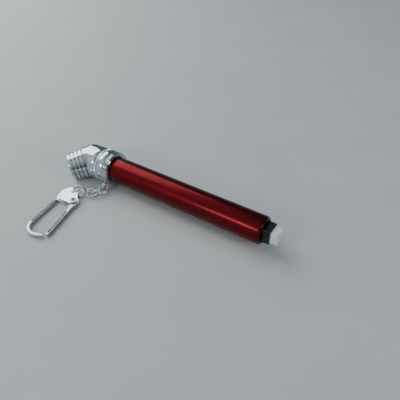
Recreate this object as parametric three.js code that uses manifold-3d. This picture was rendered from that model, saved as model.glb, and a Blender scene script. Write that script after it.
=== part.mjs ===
// A keychain tyre pressure gauge of the pencil kind, with its short chain and lever snap clasp.
// Millimetres, +Z up. The barrel runs along +X, from the angled chuck to the indicator bar, and
// everything lies on the plane z = 0.

import * as THREE from 'three';
import { mergeVertices } from 'three/addons/utils/BufferGeometryUtils.js';
import Module from 'manifold-3d';

const wasm = await Module();
wasm.setup();

// ---- Driving dimensions ----

// barrel
const barrelDiameter = 10;
const barrelWall = 0.7;
const barrelLength = 63.4;
const barrelLip = 1.0;
const lipOpening = 8.2;

// head casting: the elbow, its neck and the spigot inside the barrel
const elbowSetback = 11.4;
const elbowDiameter = 12.8;
const bulbDiameter = 12.9;
const shoulderDiameter = 12.2;
const neckDiameter = 10;
const spigotLength = 7;
const airPassage = 2.4;

// chuck, on its own axis from the elbow to the mouth
const chuckBend = 50;
const chuckLength = 9.8;
const chuckMouthDiameter = 10.6;
const chuckRootDiameter = 12.2;
const mouthBore = 8.4;
const mouthDepth = 5;
const gripGrooves = 4;
const gripPitch = 1.5;
const gripGrooveWidth = 0.7;
const gripGrooveDepth = 0.35;
const rimWidth = 1.2;

// seal and valve depressor inside the mouth
const sealThickness = 1.6;
const sealUndercut = 0.4;
const sealHole = 4;
const chamberDiameter = 5.2;
const chamberDepth = 1.3;
const spiderThickness = 0.8;
const spiderArm = 1.2;
const depressorDiameter = 1.2;

// the rings stacked on the neck, from the bulb to the barrel
const knurlWidth = 1.0;
const knurlDiameter = 12.4;
const knurlTeeth = 44;
const knurlDepth = 0.3;
const collarWidth = 3.5;
const collarDiameter = 13.2;
const collarEdgeDiameter = 12.3;
const swivelWidth = 1.6;
const swivelDiameter = 13;
const swivelGrooveDepth = 0.3;
const ringGap = 0.1;

// eyelet on the swivel ring
const eyeletWire = 0.9;
const eyeletHole = 2.2;
const eyeletLift = 0.15;

// spigot O-ring
const oRingSection = 1.0;
const oRingPlace = 3.5;

// guide bush at the indicator end
const bushLength = 8;
const noseSide = 5.4;
const noseLength = 2.8;

// indicator bar
const barSide = 4.35;
const barOverhang = 5.2;
const barStopRim = 0.08;
const barStopThickness = 1.2;
const barStubDiameter = 2.4;
const barStubLength = 3;

// piston and its calibrated spring
const cupLength = 3.4;
const cupWall = 0.7;
const plateThickness = 1.2;
const pistonRivetDiameter = 1.6;
const pistonRivetHead = 3;
const rivetHeadHeight = 0.5;
const springWire = 0.6;
const springTurns = 13;

// chain: oval wire links, each rolled about a quarter turn from the last
const linkLength = 4;
const linkWidth = 3.6;
const linkWire = 0.66;
const linkPlay = 0.4;
const firstLinkRoll = -10;
const linkTwist = 77;
const chainHeading = -82.6;
const chainTurn = -26.6;
const linkSlopes = [-14, 0, 2, 10];
const jumpRingDiameter = 4.8;
const jumpRingWire = 0.72;
const jumpRingTilt = 50;
const jumpRingHeading = 33;
const jumpRingGrip = 10;
const jumpRingHook = 190;
const jumpRingLift = 0.1;
const wireSeam = 0.06;

// clasp, measured from its rivet: x across towards the gate, y towards the hanger
const claspHeading = 9.4;
const plateSheet = 0.5;
const plateLeft = 7;
const plateShoulder = 3.3;
const plateTop = 6.1;
const plateBottom = 1.4;
const plateCorner = 2.2;
const rivetLobe = 3;
const hangerAcross = -2.6;
const hangerAlong = 4;
const hangerHole = 1.8;
const hangerRim = 0.75;
const hangerRelief = 1.9;
const armWidth = 1.15;
const armThickness = 1.5;
const armBevel = 0.2;
const armTopInset = 0.2;
const bowReach = 15;
const bowOffset = -2.4;
const bowDiameter = 10.5;
const bowEndAngle = 74;
const bowEndLength = 2.6;
const gateReach = 18.6;
const gateSpan = 14;
const gateLean = 3.7;
const gateGap = 0.2;
const gateEar = 3.9;
const rivetShank = 1.3;
const rivetHole = 0.8;
const rivetHeadDiameter = 2.1;
const rivetHeadThickness = 0.25;
const sheetGap = 0.15;
const leafThickness = 0.35;

// clearances
const runningGap = 0.05;
const slidingGap = 0.1;

// ---- Sizes that follow ----

const barrelRadius = barrelDiameter / 2;
const barrelBore = barrelRadius - barrelWall;
const neckRadius = neckDiameter / 2;
const axisHeight = Math.max(collarDiameter, swivelDiameter, elbowDiameter, bulbDiameter) / 2;
const swivelStart = -ringGap - swivelWidth;
const collarStart = swivelStart - ringGap - collarWidth;
const knurlStart = collarStart - ringGap - knurlWidth;
const shoulder = knurlStart - ringGap;
const ringBore = neckRadius + runningGap;

const spigotRadius = barrelBore - runningGap;
const cupStart = spigotLength + 0.5;
const plateStart = cupStart + cupLength + runningGap;
const barStopRadius = barSide * Math.SQRT1_2 + barStopRim;
const springCentre = (barStopRadius + barrelBore) / 2;
const stopStart = plateStart + plateThickness + rivetHeadHeight + 0.2;
const barStart = stopStart + barStopThickness + runningGap;
const barEnd = barrelLength + barOverhang;
const bushEnd = barrelLength - barrelLip - runningGap;
const bushStart = bushEnd - bushLength;
const noseEnd = barrelLength + noseLength;

const sealRadius = mouthBore / 2 + sealUndercut;
const sealStart = chuckLength - mouthDepth - sealThickness - 2 * runningGap;
const chamberStart = sealStart - chamberDepth;

const turnSteps = 32;
const radians = THREE.MathUtils.degToRad;

// The chuck dips about the barrel's axis until its mouth rim meets the ground plane.
const rimReach = Math.hypot(chuckLength, chuckMouthDiameter / 2);
const dip = Math.asin(axisHeight / rimReach) - Math.atan2(chuckMouthDiameter / 2, chuckLength);
const bendSine = Math.sin(radians(chuckBend));
const dipSine = Math.sin(dip) / bendSine;
const chuckAxis = new THREE.Vector3(
  -Math.cos(radians(chuckBend)),
  -bendSine * Math.sqrt(1 - dipSine * dipSine),
  -bendSine * dipSine,
);

// ---- Modelling helpers ----

function solid(geometry) {
  const bare = geometry.clone();
  bare.deleteAttribute('normal');
  bare.deleteAttribute('uv');
  const merged = mergeVertices(bare);
  const index = merged.index.array;
  const triangles = [];
  for (let i = 0; i < index.length; i += 3) {
    const [a, b, c] = index.slice(i, i + 3);
    if (a !== b && b !== c && c !== a) triangles.push(a, b, c);
  }
  return new wasm.Manifold(new wasm.Mesh({
    numProp: 3,
    vertProperties: new Float32Array(merged.attributes.position.array),
    triVerts: new Uint32Array(triangles),
  }));
}

function geometryOf(manifold) {
  const { vertProperties, triVerts } = manifold.getMesh();
  const geometry = new THREE.BufferGeometry();
  geometry.setAttribute('position', new THREE.BufferAttribute(vertProperties, 3));
  geometry.setIndex(new THREE.BufferAttribute(triVerts, 1));
  geometry.computeVertexNormals();
  return geometry;
}

function join(...geometries) {
  return geometryOf(geometries.map(solid).reduce((whole, piece) => whole.add(piece)));
}

function cut(geometry, ...tools) {
  return geometryOf(tools.map(solid).reduce((whole, tool) => whole.subtract(tool), solid(geometry)));
}

// A body turned about X, from [x, radius] points listed with the material on their right.
function turned(points, steps = turnSteps) {
  const profile = points.map(([x, radius]) => new THREE.Vector2(radius, x));
  return new THREE.LatheGeometry(profile, steps).rotateZ(-Math.PI / 2);
}

function turnedRing(start, end, inner, outer, steps = turnSteps) {
  return turned([[start, inner], [start, outer], [end, outer], [end, inner], [start, inner]], steps);
}

function rod(start, end, radius, steps = turnSteps) {
  return turned([[start, 0], [start, radius], [end, radius], [end, 0]], steps);
}

function bar(start, end, side) {
  return new THREE.BoxGeometry(end - start, side, side).translate((start + end) / 2, 0, 0);
}

// A flat plate of the outline, standing from z = low to z = high, with bevelled edges if asked.
function sheet(shape, low, high, bevel = 0, curveSegments = 10) {
  const geometry = new THREE.ExtrudeGeometry(shape, {
    depth: high - low - 2 * bevel,
    bevelEnabled: bevel > 0,
    bevelThickness: bevel,
    bevelSize: bevel,
    bevelOffset: -bevel,
    bevelSegments: 1,
    curveSegments,
  });
  return geometry.translate(0, 0, low + bevel);
}

function disc(x, y, radius, low, high, steps = 24) {
  const geometry = new THREE.CylinderGeometry(radius, radius, high - low, steps);
  return geometry.rotateX(Math.PI / 2).translate(x, y, (low + high) / 2);
}

function outline(points) {
  return new THREE.Shape(points.map(([x, y]) => new THREE.Vector2(x, y)));
}

// The centre line of a wire link: two straights along X and two half circles, open at one seam.
class LinkLine extends THREE.Curve {
  constructor(straight, radius) {
    super();
    this.straight = straight;
    this.radius = radius;
  }

  getPoint(t, target = new THREE.Vector3()) {
    const { straight, radius } = this;
    const bend = Math.PI * radius;
    const around = 2 * straight + 2 * bend;
    let along = wireSeam / 2 + t * (around - wireSeam) + straight / 2;
    if (along > around) along -= around;
    if (along < straight) return target.set(along - straight / 2, radius, 0);
    along -= straight;
    if (along < bend) return this.onBend(target, straight / 2, along / radius);
    along -= bend;
    if (along < straight) return target.set(straight / 2 - along, -radius, 0);
    along -= straight;
    return this.onBend(target, -straight / 2, Math.PI + along / radius);
  }

  onBend(target, centre, angle) {
    return target.set(centre + this.radius * Math.sin(angle), this.radius * Math.cos(angle), 0);
  }
}

function bentWire(line, wire, steps, sides = 8) {
  const section = outline(Array.from({ length: sides }, (_, i) => {
    const angle = (i / sides) * 2 * Math.PI;
    return [wire / 2 * Math.cos(angle), wire / 2 * Math.sin(angle)];
  }));
  return new THREE.ExtrudeGeometry(section, { steps, extrudePath: line, curveSegments: 1 });
}

const finishes = {
  chrome: { color: 0xc9d0d4, roughness: 0.12, metalness: 1 },
  anodised: { color: 0x6a0610, roughness: 0.22, metalness: 0.8 },
  nickel: { color: 0xb9bdbf, roughness: 0.3, metalness: 1 },
  black: { color: 0x141416, roughness: 0.45, metalness: 0 },
  white: { color: 0xe8eaec, roughness: 0.4, metalness: 0 },
  rubber: { color: 0x1c1c1c, roughness: 0.9, metalness: 0 },
  brass: { color: 0xb48a3c, roughness: 0.35, metalness: 1 },
  springSteel: { color: 0x9a9da0, roughness: 0.3, metalness: 1 },
};

function piece(name, geometry, finish) {
  const mesh = new THREE.Mesh(geometry, new THREE.MeshStandardMaterial(finishes[finish]));
  mesh.name = name;
  return mesh;
}

// ---- Head ----

const chuckTurn = new THREE.Quaternion().setFromUnitVectors(new THREE.Vector3(1, 0, 0), chuckAxis);

function chuckGroup(...meshes) {
  const group = new THREE.Group();
  group.quaternion.copy(chuckTurn);
  group.position.set(-elbowSetback, 0, 0);
  group.add(...meshes);
  return group;
}

function onChuck(geometry) {
  return geometry.applyQuaternion(chuckTurn).translate(-elbowSetback, 0, 0);
}

function chuckRadius(along) {
  const root = chuckRootDiameter / 2;
  const mouth = chuckMouthDiameter / 2;
  const waist = elbowDiameter / 4;
  return root + (mouth - root) * Math.max(0, (along - waist) / (chuckLength - waist));
}

function chuckOutside() {
  const profile = [[0, 0], [0, chuckRadius(0)], [elbowDiameter / 4, chuckRadius(0)]];
  for (let i = gripGrooves - 1; i >= 0; i -= 1) {
    const centre = chuckLength - rimWidth - gripGrooveWidth / 2 - i * gripPitch;
    const start = centre - gripGrooveWidth / 2;
    const end = centre + gripGrooveWidth / 2;
    const floor = chuckRadius(centre) - gripGrooveDepth;
    profile.push([start, chuckRadius(start)], [start + 0.15, floor], [end - 0.15, floor]);
    profile.push([end, chuckRadius(end)]);
  }
  const edge = 0.25;
  profile.push([chuckLength - edge, chuckMouthDiameter / 2], [chuckLength, chuckMouthDiameter / 2 - edge]);
  profile.push([chuckLength, 0]);
  return turned(profile);
}

function chuckInside() {
  const bore = mouthBore / 2;
  const chamfer = 0.25;
  const seat = chuckLength - mouthDepth;
  return turned([
    [0, 0],
    [0, airPassage / 2],
    [chamberStart, airPassage / 2],
    [chamberStart, chamberDiameter / 2],
    [sealStart - runningGap, chamberDiameter / 2],
    [sealStart - runningGap, sealRadius + runningGap],
    [seat, sealRadius + runningGap],
    [seat, bore],
    [chuckLength - chamfer, bore],
    [chuckLength + 1, bore + chamfer + 1],
    [chuckLength + 1, 0],
  ]);
}

function headCasting() {
  const elbow = new THREE.SphereGeometry(elbowDiameter / 2, turnSteps, 16).translate(-elbowSetback, 0, 0);
  const bulbMiddle = (shoulder - elbowSetback) / 2;
  const grooveStart = oRingPlace - oRingSection / 2 - slidingGap;
  const grooveEnd = oRingPlace + oRingSection / 2 + slidingGap;
  const grooveFloor = barrelBore - oRingSection - 2 * runningGap;
  const body = turned([
    [-elbowSetback, 0],
    [-elbowSetback, elbowDiameter / 2 - slidingGap],
    [bulbMiddle, bulbDiameter / 2],
    [shoulder - 0.6, (bulbDiameter + shoulderDiameter) / 4],
    [shoulder, shoulderDiameter / 2],
    [shoulder, neckRadius],
    [-runningGap, neckRadius],
    [-runningGap, spigotRadius],
    [grooveStart, spigotRadius],
    [grooveStart, grooveFloor],
    [grooveEnd, grooveFloor],
    [grooveEnd, spigotRadius],
    [spigotLength, spigotRadius],
    [spigotLength, 0],
  ]);
  const passage = rod(-elbowSetback, spigotLength + 1, airPassage / 2, 16);
  const whole = join(elbow, body, onChuck(chuckOutside()));
  return piece('head_casting', cut(whole, onChuck(chuckInside()), passage), 'chrome');
}

function valveSeal() {
  const ring = turnedRing(sealStart, sealStart + sealThickness, sealHole / 2, sealRadius);
  return piece('valve_seal', ring, 'rubber');
}

function depressorPin() {
  const low = chamberStart + runningGap;
  const span = chamberDiameter - 2 * slidingGap;
  const arms = [0, 1, 2].map((i) => {
    const arm = new THREE.BoxGeometry(spiderThickness, span / 2, spiderArm);
    return arm.translate(low + spiderThickness / 2, span / 4, 0).rotateX((i * 2 * Math.PI) / 3);
  });
  const pin = rod(low, sealStart + sealThickness, depressorDiameter / 2, 12);
  return piece('depressor_pin', join(pin, ...arms), 'brass');
}

function knurledRing() {
  const teeth = [];
  for (let i = 0; i < 2 * knurlTeeth; i += 1) {
    const radius = knurlDiameter / 2 - (i % 2) * knurlDepth;
    const angle = (i / (2 * knurlTeeth)) * 2 * Math.PI;
    teeth.push([radius * Math.cos(angle), radius * Math.sin(angle)]);
  }
  const band = sheet(outline(teeth), 0, knurlWidth).rotateY(Math.PI / 2).translate(knurlStart, 0, 0);
  const bore = rod(knurlStart - 1, knurlStart + knurlWidth + 1, ringBore);
  return piece('knurled_ring', cut(band, bore), 'chrome');
}

function neckCollar() {
  const edge = collarEdgeDiameter / 2;
  const crown = collarDiameter / 2 - edge;
  const profile = [[collarStart, ringBore]];
  const arcSteps = 6;
  for (let i = 0; i <= arcSteps; i += 1) {
    const share = i / arcSteps;
    profile.push([collarStart + share * collarWidth, edge + crown * Math.sin(Math.PI * share)]);
  }
  profile.push([collarStart + collarWidth, ringBore], [collarStart, ringBore]);
  return piece('neck_collar', turned(profile), 'chrome');
}

function spigotSeal() {
  const middle = barrelBore - runningGap - oRingSection / 2;
  const ring = new THREE.TorusGeometry(middle, oRingSection / 2, 8, turnSteps).rotateY(Math.PI / 2);
  return piece('spigot_seal', ring.translate(oRingPlace, 0, 0), 'rubber');
}

// ---- Barrel, bush, piston and indicator ----

function barrel() {
  const lipStart = barrelLength - barrelLip;
  const profile = [[0, barrelBore], [0, barrelRadius]];
  const arcSteps = 5;
  const roll = Math.min(barrelLip, barrelRadius - lipOpening / 2);
  for (let i = 0; i <= arcSteps; i += 1) {
    const angle = (i / arcSteps) * (Math.PI / 2);
    profile.push([barrelLength - roll + roll * Math.sin(angle), barrelRadius - roll + roll * Math.cos(angle)]);
  }
  profile.push([barrelLength, lipOpening / 2], [lipStart, lipOpening / 2], [lipStart, barrelBore]);
  profile.push([0, barrelBore]);
  return piece('barrel', turned(profile), 'anodised');
}

function guideBush() {
  const body = turned([
    [bushStart, 0],
    [bushStart, barrelBore - runningGap],
    [bushEnd, barrelBore - runningGap],
    [bushEnd, lipOpening / 2 - slidingGap],
    [barrelLength - 0.3, lipOpening / 2 - slidingGap],
    [barrelLength - 0.3, 0],
  ]);
  const nose = bar(bushEnd, noseEnd, noseSide);
  const guide = bar(bushStart - 1, noseEnd + 1, barSide + 2 * slidingGap);
  return piece('guide_bush', cut(join(body, nose), guide), 'black');
}

function indicatorBar() {
  const stubBore = rod(barStart - 1, barStart + barStubLength + 0.3, barStubDiameter / 2 + runningGap, 16);
  return piece('indicator_bar', cut(bar(barStart, barEnd, barSide), stubBore), 'white');
}

function barStop() {
  const end = stopStart + barStopThickness;
  const stop = turned([
    [stopStart, 0],
    [stopStart, barStopRadius],
    [end, barStopRadius],
    [end, barStubDiameter / 2],
    [end + barStubLength, barStubDiameter / 2],
    [end + barStubLength, 0],
  ], 16);
  return piece('bar_stop', stop, 'black');
}

function pistonCup() {
  const outer = barrelBore - runningGap;
  const floor = cupStart + cupLength - cupWall * 1.5;
  const hole = pistonRivetDiameter / 2 + runningGap;
  const cup = turned([
    [floor, hole],
    [floor, outer - 2 * cupWall],
    [cupStart, outer - cupWall],
    [cupStart, outer],
    [cupStart + cupLength, outer - runningGap],
    [cupStart + cupLength, hole],
    [floor, hole],
  ]);
  return piece('piston_cup', cup, 'rubber');
}

function pistonPlate() {
  const hole = pistonRivetDiameter / 2 + runningGap;
  const plate = turnedRing(plateStart, plateStart + plateThickness, hole, barrelBore - slidingGap);
  return piece('piston_plate', plate, 'brass');
}

function pistonRivet() {
  const cupFloor = cupStart + cupLength - cupWall * 1.5;
  const low = cupFloor - runningGap;
  const high = plateStart + plateThickness + runningGap;
  const rivet = turned([
    [low - rivetHeadHeight, 0],
    [low - rivetHeadHeight, pistonRivetHead / 2],
    [low, pistonRivetHead / 2],
    [low, pistonRivetDiameter / 2],
    [high, pistonRivetDiameter / 2],
    [high, pistonRivetHead / 2],
    [high + rivetHeadHeight - runningGap, pistonRivetHead / 2],
    [high + rivetHeadHeight - runningGap, 0],
  ], 16);
  return piece('piston_rivet', rivet, 'brass');
}

class Helix extends THREE.Curve {
  constructor(start, end, radius, turns) {
    super();
    this.start = start;
    this.end = end;
    this.radius = radius;
    this.turns = turns;
  }

  getPoint(t, target = new THREE.Vector3()) {
    const angle = 2 * Math.PI * this.turns * t;
    const x = this.start + t * (this.end - this.start);
    return target.set(x, this.radius * Math.cos(angle), this.radius * Math.sin(angle));
  }
}

function calibratedSpring() {
  const start = plateStart + plateThickness + springWire / 2 + slidingGap;
  const end = bushStart - springWire / 2 - slidingGap;
  const line = new Helix(start, end, springCentre, springTurns);
  return piece('calibrated_spring', bentWire(line, springWire, springTurns * 12, 5), 'springSteel');
}

// ---- Swivel ring and chain ----

const eyeletRadius = swivelDiameter / 2 + eyeletHole / 2 + 0.1;
const eyeletOuter = eyeletHole / 2 + eyeletWire;
const eyeletAngle = Math.asin((axisHeight - eyeletOuter - eyeletLift) / eyeletRadius);
const eyelet = new THREE.Vector3(
  swivelStart + swivelWidth / 2,
  -eyeletRadius * Math.cos(eyeletAngle),
  -eyeletRadius * Math.sin(eyeletAngle),
);

function swivelRing() {
  const radius = swivelDiameter / 2;
  const groove = swivelWidth / 5;
  const profile = [[swivelStart, ringBore], [swivelStart, radius]];
  for (let i = 1; i < 5; i += 2) {
    const x = swivelStart + i * groove;
    profile.push([x, radius], [x + groove / 2, radius - swivelGrooveDepth], [x + groove, radius]);
  }
  const end = swivelStart + swivelWidth;
  profile.push([end, radius], [end, ringBore], [swivelStart, ringBore]);
  const middle = (eyeletHole + eyeletWire) / 2;
  const loop = new THREE.TorusGeometry(middle, eyeletWire / 2, 8, 24).rotateY(Math.PI / 2);
  return piece('swivel_ring', join(turned(profile), loop.translate(...eyelet)), 'chrome');
}

function bearing(heading, slope) {
  const flat = Math.cos(radians(slope));
  return new THREE.Vector3(
    flat * Math.cos(radians(heading)),
    flat * Math.sin(radians(heading)),
    Math.sin(radians(slope)),
  );
}

// Pulls a frame's X along the direction, with its Z leaning over by the roll.
function alongChain(group, direction, roll) {
  const side = new THREE.Vector3(0, 0, 1).cross(direction).normalize();
  const up = direction.clone().cross(side);
  const across = side.clone().multiplyScalar(Math.cos(radians(roll)));
  across.addScaledVector(up, Math.sin(radians(roll)));
  const normal = direction.clone().cross(across);
  group.quaternion.setFromRotationMatrix(new THREE.Matrix4().makeBasis(direction, across, normal));
  return group;
}

const linkPitch = linkLength - 2 * linkWire - linkPlay;
const linkEnd = (linkLength - linkWire) / 2;

// Each link's middle, and the point of its outer end that the next piece hangs from.
function chainPlaces() {
  const places = [];
  const eyeletMiddle = (eyeletHole + eyeletWire) / 2;
  let reach = eyeletMiddle + linkEnd - (linkWire + eyeletWire) / 2 - linkPlay;
  const at = eyelet.clone();
  linkSlopes.forEach((slope, i) => {
    const direction = bearing(chainHeading + i * chainTurn, slope);
    at.addScaledVector(direction, reach);
    const leaving = bearing(chainHeading + (i + 0.5) * chainTurn, slope);
    places.push({ middle: at.clone(), direction: leaving, roll: firstLinkRoll + i * linkTwist });
    reach = linkPitch;
  });
  return places;
}

const links = chainPlaces();

function chainLinks() {
  const straight = linkLength - linkWidth;
  const line = new LinkLine(straight, (linkWidth - linkWire) / 2);
  return links.map(({ middle, direction, roll }, i) => {
    const link = piece(`chain_link_${i + 1}`, bentWire(line, linkWire, 26), 'chrome');
    link.position.copy(middle);
    return alongChain(link, direction, roll);
  });
}

// The jump ring faces up and away from the barrel, held by the last link at its grip and by the
// clasp's hanger at its hook, both angles round its own middle.
const ringRadius = (jumpRingDiameter - jumpRingWire) / 2;
const ringFlat = bearing(jumpRingHeading, 0);
const ringRise = bearing(jumpRingHeading + 90, jumpRingTilt);

function onRing(angle) {
  const point = ringFlat.clone().multiplyScalar(ringRadius * Math.cos(radians(angle)));
  return point.addScaledVector(ringRise, ringRadius * Math.sin(radians(angle)));
}

function jumpRingPlace() {
  const last = links[links.length - 1];
  const reach = linkEnd - (linkWire + jumpRingWire) / 2 - linkPlay;
  const centre = last.middle.clone().addScaledVector(last.direction, reach).sub(onRing(jumpRingGrip));
  centre.z = -axisHeight + jumpRingLift + jumpRingWire / 2 + ringRadius * ringRise.z;
  return centre;
}

const ringCentre = jumpRingPlace();

function jumpRing() {
  const ring = piece('jump_ring', bentWire(new LinkLine(0, ringRadius), jumpRingWire, 28), 'chrome');
  const normal = ringFlat.clone().cross(ringRise);
  ring.quaternion.setFromRotationMatrix(new THREE.Matrix4().makeBasis(ringFlat, ringRise, normal));
  ring.position.copy(ringCentre);
  return ring;
}

// ---- Clasp ----

const baseLow = rivetHeadThickness + runningGap;
const baseHigh = baseLow + plateSheet;
const earLow = baseHigh + sheetGap;
const earHigh = earLow + plateSheet;
const coverLow = earHigh + sheetGap;
const coverHigh = coverLow + plateSheet;
const rivetHoleRadius = rivetShank / 2 + runningGap;
const bowRadius = bowDiameter / 2;
const armLeft = -plateLeft - armTopInset;

// The plate's sheet, from the arm round past the hanger to the rivet; the lower sheet stops short
// of the hanger, which leaves room for the jump ring.
function plateOutline(left, hangerSide) {
  return outline([
    [left + 0.5, -plateBottom],
    [left, plateShoulder],
    [left + plateCorner, plateTop],
    ...hangerSide,
    [rivetLobe * 0.36, rivetLobe * 0.36],
    [0, -rivetLobe / 2],
    [-0.3, -plateBottom - 0.6],
  ]);
}

function coverOutline() {
  const reach = hangerHole / 2 + hangerRim;
  return plateOutline(-plateLeft, [
    [hangerAcross, hangerAlong + reach],
    [hangerAcross + reach * Math.SQRT1_2, hangerAlong + reach * Math.SQRT1_2],
  ]);
}

function baseOutline(left) {
  return plateOutline(left, [
    [hangerAcross - hangerRelief, plateTop - 0.4],
    [hangerAcross - hangerRelief / 2, hangerAlong - hangerRelief],
  ]);
}

function rivetCut(low, high) {
  return disc(0, 0, rivetHoleRadius, low - 1, high + 1);
}

// The arm, the bow and its short straight end, which stops at the circle that the gate's tip swings on.
function bowOutline() {
  const inner = bowRadius - armWidth;
  const end = 2 * Math.PI - radians(bowEndAngle);
  const along = new THREE.Vector2(-Math.sin(end), Math.cos(end)).multiplyScalar(bowEndLength);
  const across = new THREE.Vector2(Math.cos(end), Math.sin(end));
  const shape = new THREE.Shape();
  shape.moveTo(armLeft, -plateBottom + 1);
  shape.lineTo(bowOffset - bowRadius, -bowReach);
  shape.absarc(bowOffset, -bowReach, bowRadius, Math.PI, end, false);
  shape.lineTo(bowOffset + bowRadius * across.x + along.x, -bowReach + bowRadius * across.y + along.y);
  shape.lineTo(bowOffset + inner * across.x + along.x, -bowReach + inner * across.y + along.y);
  shape.absarc(bowOffset, -bowReach, inner, end, Math.PI, true);
  shape.lineTo(armLeft + armWidth, -plateBottom + 1);
  return shape;
}

function claspFrame() {
  const arm = sheet(bowOutline(), 0, armThickness, armBevel);
  const plate = sheet(baseOutline(-plateLeft), baseLow, baseHigh);
  const lobe = disc(0, 0, rivetLobe / 2, baseLow, baseHigh);
  const armCut = sheet(baseOutline(-plateLeft - 1), earLow - sheetGap, coverHigh + 1);
  const swing = disc(0, 0, gateReach + gateGap, -1, armThickness + 1, 160);
  const beyond = new THREE.BoxGeometry(bowDiameter, armWidth * 4, armThickness * 3);
  const tip = join(beyond.translate(bowOffset + bowRadius * 0.9, -gateReach, 0));
  const swept = geometryOf(solid(swing).intersect(solid(tip)));
  return piece('clasp_frame', cut(join(cut(arm, armCut, swept), plate, lobe), rivetCut(0, baseHigh)), 'nickel');
}

function claspCover() {
  const plate = sheet(coverOutline(), coverLow, coverHigh);
  const lobe = disc(0, 0, rivetLobe / 2, coverLow, coverHigh);
  const hanger = disc(hangerAcross, hangerAlong, hangerHole / 2 + hangerRim, coverLow, coverHigh, 28);
  const eye = disc(hangerAcross, hangerAlong, hangerHole / 2, coverLow - 1, coverHigh + 1, 28);
  return piece('clasp_cover', cut(join(plate, lobe, hanger), eye, rivetCut(coverLow, coverHigh)), 'nickel');
}

// The gate's arm leans out from the shoulder to its tip, which closes inside the bow's end.
function claspGate() {
  const ear = gateEar / 2;
  const lean = radians(gateLean);
  const tipX = ear - 0.2 + gateSpan * Math.tan(lean);
  const tipY = -Math.sqrt(gateReach ** 2 - tipX ** 2);
  const shoulderY = tipY + gateSpan;
  const arm = sheet(outline([
    [ear - 0.2, shoulderY],
    [tipX, tipY + 0.3],
    [tipX - 0.3, tipY],
    [tipX - armWidth + 0.2, tipY],
    [tipX - armWidth, tipY + 0.3],
    [ear - 0.2 - armWidth, shoulderY - 0.1],
    [-ear * 0.3, -ear - 0.15],
    [ear * 0.7, -ear - 0.15],
    [ear, -ear],
  ]), 0.1, armThickness, 0.15);
  const tab = disc(0, 0, ear, earLow, earHigh, 28);
  const bridge = sheet(outline([
    [0, 0], [ear, 0], [ear - 0.1, -ear - 0.3], [-ear * 0.15, -ear - 0.3],
  ]), earLow, earHigh);
  return piece('clasp_gate', cut(join(arm, tab, bridge), rivetCut(0, coverLow)), 'nickel');
}

function claspRivet() {
  const head = rivetHeadDiameter / 2;
  const shank = rivetShank / 2;
  const top = coverHigh + runningGap;
  const rivet = new THREE.LatheGeometry([
    [rivetHole / 2, 0],
    [head, 0],
    [head, rivetHeadThickness],
    [shank, rivetHeadThickness],
    [shank, top],
    [head, top],
    [head - 0.2, top + rivetHeadThickness],
    [rivetHole / 2, top + rivetHeadThickness],
    [rivetHole / 2, 0],
  ].map(([radius, z]) => new THREE.Vector2(radius, z)), 24);
  return piece('clasp_rivet', rivet.rotateX(Math.PI / 2), 'nickel');
}

function claspSpring() {
  const tip = -gateEar / 2 - sheetGap;
  const t = leafThickness;
  const leaf = sheet(outline([
    [tip - 3.6, 2.9],
    [tip - 2.4, -0.4],
    [tip, -0.6],
    [tip, -0.6 + t],
    [tip - 2.2, -0.2 + t],
    [tip - 3.6 + t, 2.9],
  ]), earLow, earHigh);
  return piece('clasp_spring', leaf, 'springSteel');
}

function clasp() {
  const group = new THREE.Group();
  const turn = radians(claspHeading);
  const hanger = new THREE.Vector3(hangerAcross, hangerAlong, 0).applyAxisAngle(new THREE.Vector3(0, 0, 1), turn);
  const hole = ringCentre.clone().add(onRing(jumpRingHook));
  group.rotation.z = turn;
  group.position.set(hole.x - hanger.x, hole.y - hanger.y, -axisHeight);
  group.add(claspFrame(), claspCover(), claspGate(), claspRivet(), claspSpring());
  return group;
}

// ---- Assembly, moved to stand on z = 0 with its box's middle over the origin ----

const gauge = new THREE.Group();
gauge.add(
  headCasting(), chuckGroup(valveSeal(), depressorPin()), knurledRing(), neckCollar(), spigotSeal(),
  barrel(), guideBush(), indicatorBar(), barStop(), pistonCup(), pistonPlate(), pistonRivet(),
  calibratedSpring(), swivelRing(), ...chainLinks(), jumpRing(), clasp(),
);
const box = new THREE.Box3().setFromObject(gauge, true);
gauge.position.set(-(box.min.x + box.max.x) / 2, -(box.min.y + box.max.y) / 2, -box.min.z);

const part = new THREE.Group();
part.add(gauge);

export default part;
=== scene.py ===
"""The looks of a keychain tyre pressure gauge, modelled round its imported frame.

Pieces are shaped in millimetres round a zero of their own, then put in their place in metres.
"""

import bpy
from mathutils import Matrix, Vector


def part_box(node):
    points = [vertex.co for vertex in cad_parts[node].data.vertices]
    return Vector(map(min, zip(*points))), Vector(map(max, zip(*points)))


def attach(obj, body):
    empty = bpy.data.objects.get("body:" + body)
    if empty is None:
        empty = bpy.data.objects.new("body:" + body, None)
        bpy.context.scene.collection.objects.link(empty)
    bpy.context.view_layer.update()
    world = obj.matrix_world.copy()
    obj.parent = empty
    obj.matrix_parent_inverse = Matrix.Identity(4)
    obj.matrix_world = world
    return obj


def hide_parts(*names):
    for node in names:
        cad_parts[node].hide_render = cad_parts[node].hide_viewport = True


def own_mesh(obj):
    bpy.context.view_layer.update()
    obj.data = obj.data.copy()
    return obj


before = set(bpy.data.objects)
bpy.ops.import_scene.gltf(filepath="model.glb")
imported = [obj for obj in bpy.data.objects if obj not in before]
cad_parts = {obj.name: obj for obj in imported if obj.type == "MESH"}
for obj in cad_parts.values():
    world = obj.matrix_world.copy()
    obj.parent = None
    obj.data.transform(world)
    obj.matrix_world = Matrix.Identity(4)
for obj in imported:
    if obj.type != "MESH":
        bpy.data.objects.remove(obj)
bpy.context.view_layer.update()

from math import asin, atan2, cos, hypot, pi, radians, sin, sqrt, tan

import bmesh
import bpy
from bpy.props import FloatProperty, FloatVectorProperty, IntProperty, PointerProperty
from bpy.types import Operator, Panel, PropertyGroup
from mathutils import Matrix, Vector

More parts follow.
